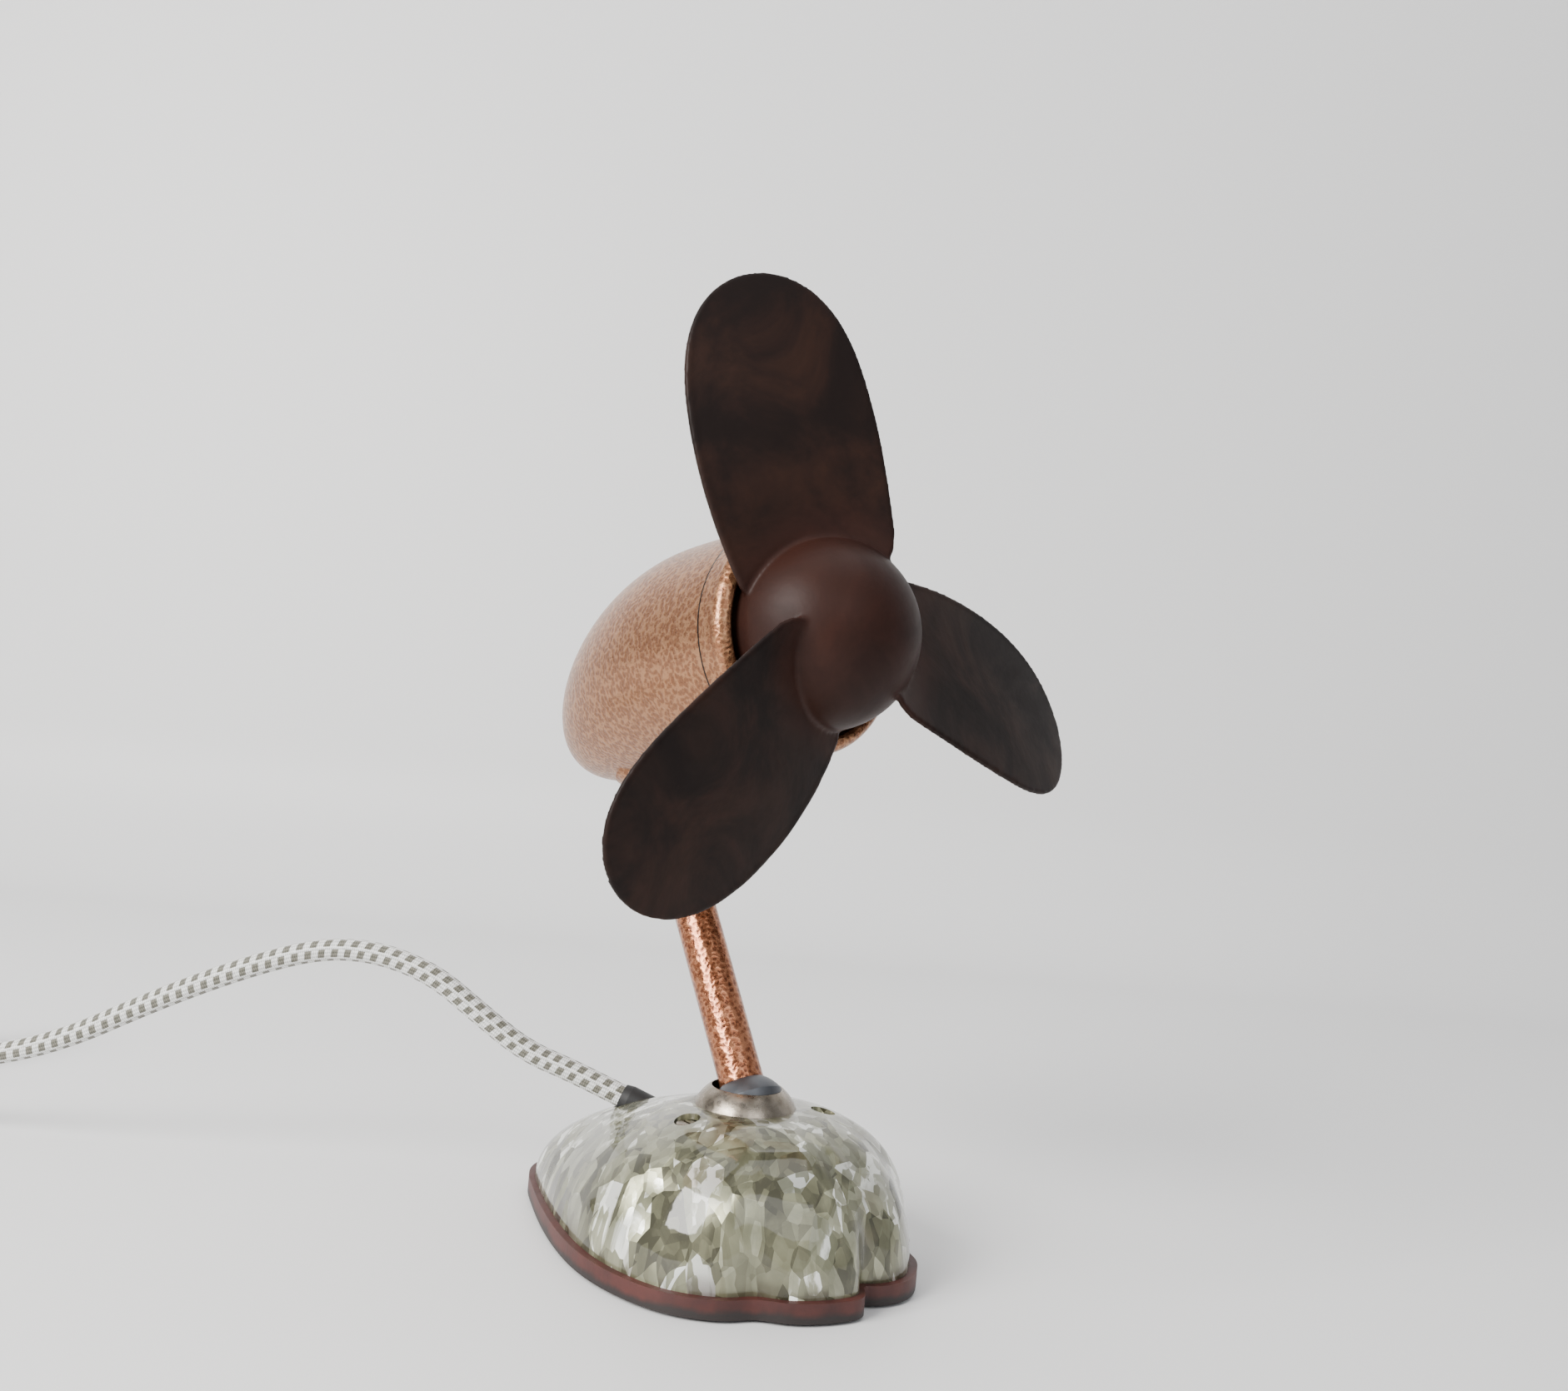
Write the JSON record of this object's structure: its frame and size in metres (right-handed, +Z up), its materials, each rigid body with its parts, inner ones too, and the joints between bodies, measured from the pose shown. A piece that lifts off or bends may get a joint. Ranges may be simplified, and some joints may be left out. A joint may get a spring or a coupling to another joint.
{
  "type": "desk fan",
  "caption": "Small desk fan with a moulded rubber propeller, egg-shaped motor housing and tube on a ball joint in a pearly fluted base, with a textile cord.",
  "frame": {"origin": "on the table, under the centre of the ball joint", "axes": "+Z up; the base faces -Y and its tail, where the cord leaves, is towards +Y; at rest the head is swivelled 8.5 degrees from the base's middle plane"},
  "size_m": [0.3484, 0.4561, 0.3169],
  "materials": {
    "pearl_shell": "gloss",
    "rim_rubber": "matte",
    "black_rubber": "matte",
    "steel_plate": "satin",
    "ballast": "matte",
    "nickel": "satin",
    "dark_steel": "satin",
    "copper_paint": "hammertone",
    "fibre": "matte",
    "bakelite": "gloss",
    "brass": "satin",
    "wire": "matte",
    "cast_alloy": "matte",
    "laminations": "satin",
    "coil_wire": "satin",
    "copper": "satin",
    "propeller_rubber": "satin",
    "cord_braid": "woven"
  },
  "bodies": {
    "base": {"base_shell": "pearl_shell", "rim_gasket": "rim_rubber", "base_plate": "steel_plate", "foot_ring": "black_rubber", "plate_screws": "nickel", "ballast_weight": "ballast", "collar_dome": "nickel", "collar_nut": "steel_plate", "socket_bracket": "steel_plate", "shell_screws": "nickel", "screw_ferrules": "steel_plate", "friction_springs": "steel_plate", "terminal_block": "bakelite", "terminal_screws": "brass", "supply_leads": "wire", "cord_clamp": "bakelite", "cord_sleeve": "black_rubber", "power_cord": "cord_braid", "cord_coil": "cord_braid", "cord_tie": "black_rubber", "mains_plug": "bakelite"},
    "seat": {"ball_seat": "steel_plate"},
    "washer": {"fibre_washer": "fibre"},
    "head": {"stem_ball": "dark_steel", "stem_tube": "copper_paint", "stem_leads": "wire", "neck_nut": "brass", "housing_rear": "copper_paint", "housing_front": "copper_paint", "housing_screws": "nickel", "front_bracket": "cast_alloy", "rear_bracket": "cast_alloy", "front_bush": "brass", "rear_bush": "brass", "stator_core": "laminations", "stator_coils": "coil_wire", "shading_rings": "copper", "stator_bolts": "nickel", "bolt_spacers": "nickel"},
    "rotor": {"motor_shaft": "nickel", "rotor_core": "laminations", "rotor_end_rings": "cast_alloy", "thrust_collars": "brass", "hub_bush": "brass", "hub_pin": "nickel", "rubber_propeller": "propeller_rubber"}
  },
  "joints": [
    {"name": "ball_swivel", "type": "hinge", "parent": "base", "child": "seat", "pos_m": [0, 0, 0.0516], "axis": [0, 0, 1], "range_deg": [-50, 50]},
    {"name": "ball_lean", "type": "hinge", "parent": "seat", "child": "washer", "pos_m": [0, 0, 0.0516], "axis": [-0.1478, -0.989, 0], "range_deg": [-5, 5]},
    {"name": "ball_tilt", "type": "hinge", "parent": "washer", "child": "head", "pos_m": [0, 0, 0.0516], "axis": [0.989, -0.1478, 0], "range_deg": [-0.8, 35]},
    {"name": "rotor_spin", "type": "hinge", "parent": "head", "child": "rotor", "pos_m": [-0.00358, -0.02393, 0.2052], "axis": [-0.1456, -0.974, 0.1736], "continuous": true}
  ]
}
